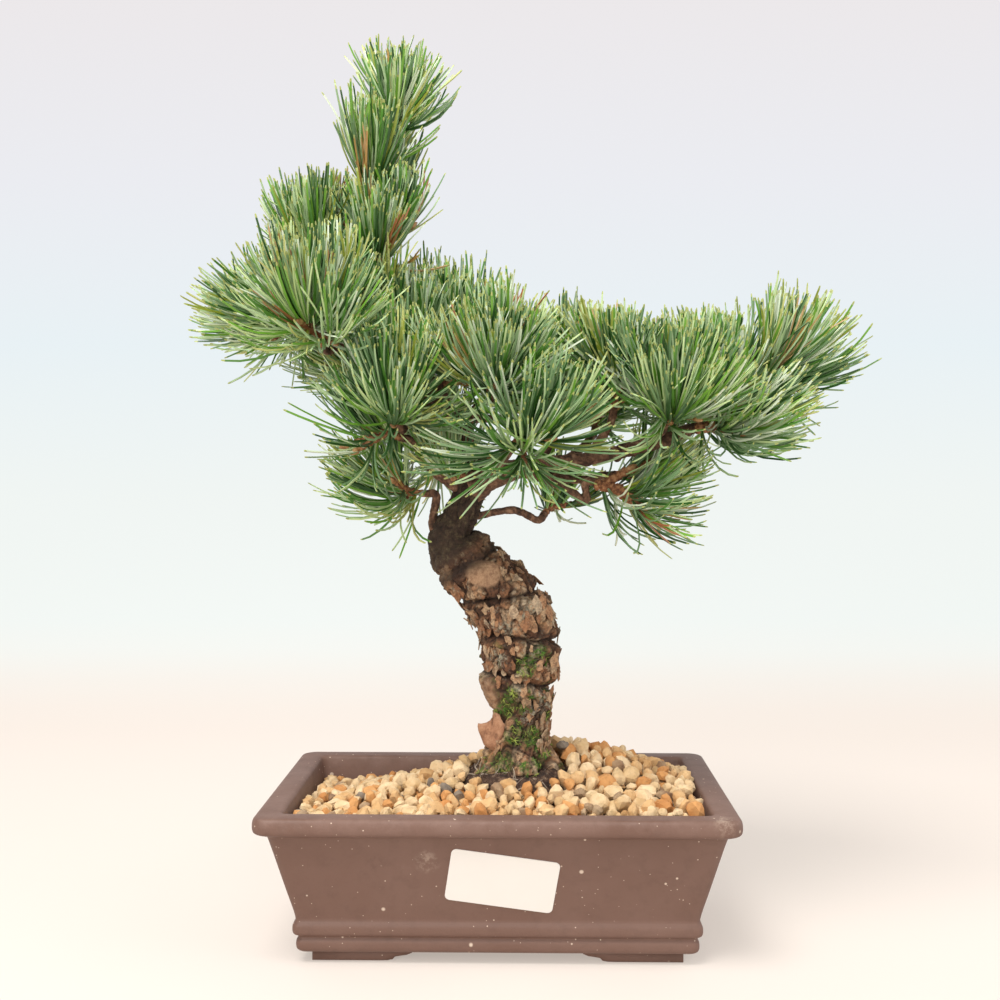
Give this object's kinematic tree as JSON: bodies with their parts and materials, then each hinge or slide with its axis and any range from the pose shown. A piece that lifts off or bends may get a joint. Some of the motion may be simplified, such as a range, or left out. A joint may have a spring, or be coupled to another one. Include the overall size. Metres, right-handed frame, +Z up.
{
  "type": "potted white pine bonsai",
  "caption": "Small informal-upright pine bonsai with a twisted trunk, a long side bough and tufts of needles, in an oblong unglazed clay pot topped with gravel.",
  "frame": {"origin": "on the surface that the pot stands on, under the middle of the whole plant and pot's box", "axes": "+Z up along the tree's height, +X along the pot's long side to the right as seen from the front, -Y towards the viewer of the front"},
  "size_m": [0.2846, 0.1692, 0.3644],
  "materials": {
    "clay": "matt unglazed brown clay with fine pale specks",
    "soil": "dark crumbly soil",
    "gravel": "loose cream, tan and grey pebbles",
    "paper": "matt blank paper label",
    "bark": "rough plated bark with moss and lichen",
    "bough_bark": "thin rough bark",
    "needles": "satin green needles with silvery inner faces"
  },
  "bodies": {
    "root": {"pot": "clay", "soil": "soil", "gravel": "gravel", "label": "paper", "trunk": "bark", "bough_top_left": "bough_bark", "bough_left_tip": "bough_bark", "bough_left_front": "bough_bark", "bough_left_back": "bough_bark", "bough_front_left": "bough_bark", "bough_low_left_front": "bough_bark", "bough_low_left": "bough_bark", "bough_back_left": "bough_bark", "bough_back_low": "bough_bark", "bough_front_middle": "bough_bark", "bough_front_low": "bough_bark", "bough_back_middle": "bough_bark", "bough_right_stub": "bough_bark", "bough_top_middle": "bough_bark", "bough_top_right": "bough_bark", "bough_right_front": "bough_bark", "bough_right_tip": "bough_bark", "bough_right_top": "bough_bark", "bough_right_back": "bough_bark", "bough_back_right": "bough_bark", "bough_low_right": "bough_bark", "bough_low_right_back": "bough_bark", "bough_under": "bough_bark", "needles_apex": "needles", "needles_leader_left": "needles", "needles_leader_right": "needles", "needles_leader_foot": "needles", "needles_top_left": "needles", "needles_left_tip": "needles", "needles_left_front": "needles", "needles_left_back": "needles", "needles_left_inner": "needles", "needles_crown_top": "needles", "needles_crown_back": "needles", "needles_front_left": "needles", "needles_low_left_front": "needles", "needles_collar": "needles", "needles_low_left": "needles", "needles_back_left": "needles", "needles_back_low": "needles", "needles_front_middle": "needles", "needles_front_low": "needles", "needles_back_middle": "needles", "needles_right_stub": "needles", "needles_top_middle": "needles", "needles_top_right": "needles", "needles_right_front": "needles", "needles_right_tip": "needles", "needles_right_top": "needles", "needles_right_back": "needles", "needles_back_right": "needles", "needles_low_right": "needles", "needles_low_right_back": "needles", "needles_under": "needles"}
  },
  "joints": []
}
